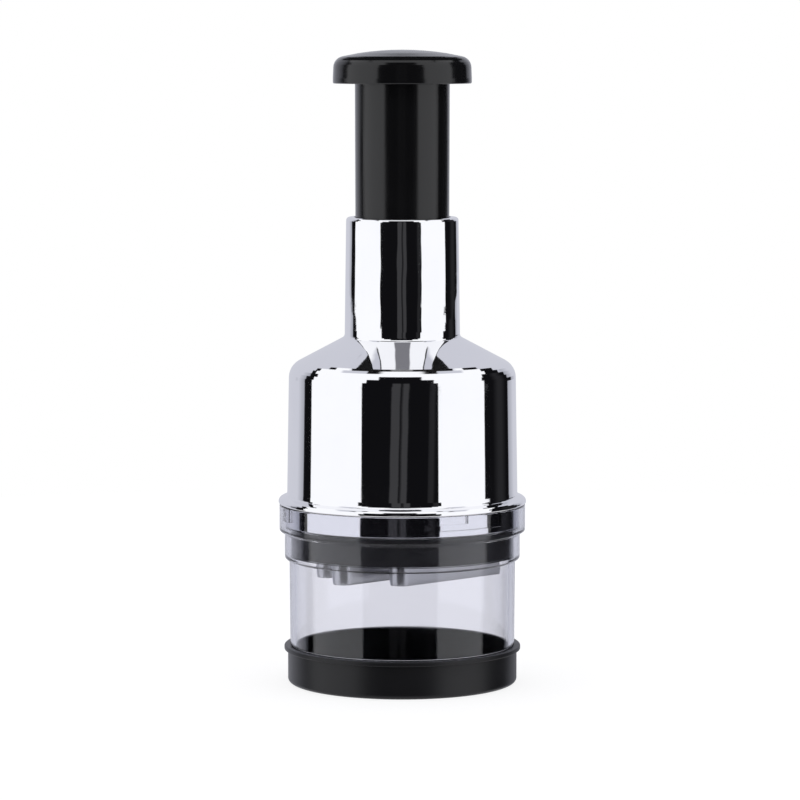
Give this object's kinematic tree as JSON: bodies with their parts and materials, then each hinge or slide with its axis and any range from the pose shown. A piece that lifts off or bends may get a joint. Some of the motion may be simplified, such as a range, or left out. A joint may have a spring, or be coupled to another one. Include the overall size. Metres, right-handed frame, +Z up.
{
  "type": "plunger food chopper",
  "caption": "Hand-pressed food chopper: a sprung palm plunger drives a zigzag blade strip through a turning wiper into a clear cup that stands on a base cap.",
  "frame": {"origin": "centre of the base cap's underside, on the surface that it stands on", "axes": "+Z up along the plunger's axis, -Y towards the picture's viewer"},
  "size_m": [0.092, 0.092, 0.2347],
  "materials": {
    "base_plastic": "satin black moulded plastic",
    "clear_plastic": "clear polished plastic",
    "chrome_shell": "bright chrome on moulded plastic",
    "bearing_plastic": "natural acetal",
    "screw_steel": "zinc-plated",
    "spring_steel": "drawn wire",
    "rubber_black": "moulded rubber",
    "gloss_black": "gloss black moulded plastic",
    "shaft_steel": "turned",
    "cam_plastic": "moulded acetal",
    "carrier_plastic": "moulded plastic",
    "blade_steel": "brushed stainless with a ground edge",
    "wiper_plastic": "moulded dark grey plastic"
  },
  "bodies": {
    "base": {"base_cap": "base_plastic"},
    "cup": {"chopping_cup": "clear_plastic"},
    "housing": {"housing_shell": "chrome_shell", "neck_bush": "bearing_plastic", "guide_core": "bearing_plastic", "core_screws": "screw_steel", "lower_crown": "bearing_plastic", "upper_crown": "bearing_plastic", "core_cap": "bearing_plastic", "spring_seat": "screw_steel", "return_spring": "spring_steel", "buffer_ring": "rubber_black"},
    "plunger": {"plunger_tube": "gloss_black", "plunger_knob": "gloss_black"},
    "blade_set": {"swivel_washer": "screw_steel", "swivel_screw": "screw_steel", "drive_shaft": "shaft_steel", "index_cam": "cam_plastic", "cam_pin": "screw_steel", "blade_carrier": "carrier_plastic", "carrier_screw": "screw_steel", "zigzag_blade": "blade_steel"},
    "wiper": {"wiper_disc": "wiper_plastic"}
  },
  "joints": [
    {"name": "cup_lift", "type": "slide", "parent": "base", "child": "cup", "axis": [0, 0, 1], "range_m": [0, 0.03]},
    {"name": "housing_twist", "type": "hinge", "parent": "cup", "child": "housing", "pos_m": [0, 0, 0.0605], "axis": [0, 0, 1], "range_deg": [0, 21]},
    {"name": "plunger_slide", "type": "slide", "parent": "housing", "child": "plunger", "axis": [0, 0, -1], "range_m": [0, 0.0375], "stiffness_N_per_m": 700, "springref_m": -0.015, "deforming": ["return_spring"]},
    {"name": "blade_turn", "type": "hinge", "parent": "plunger", "child": "blade_set", "pos_m": [0, 0, 0.222], "axis": [0, 0, 1], "range_deg": [0, 22.5]},
    {"name": "wiper_turn", "type": "hinge", "parent": "housing", "child": "wiper", "pos_m": [0, 0, 0.0493], "axis": [0, 0, 1], "range_deg": [0, 22.5]}
  ],
  "couplings": [
    {"joint": "blade_turn", "follows": "plunger_slide", "rad_per_m": 10.472},
    {"joint": "wiper_turn", "follows": "plunger_slide", "rad_per_m": 10.472}
  ]
}
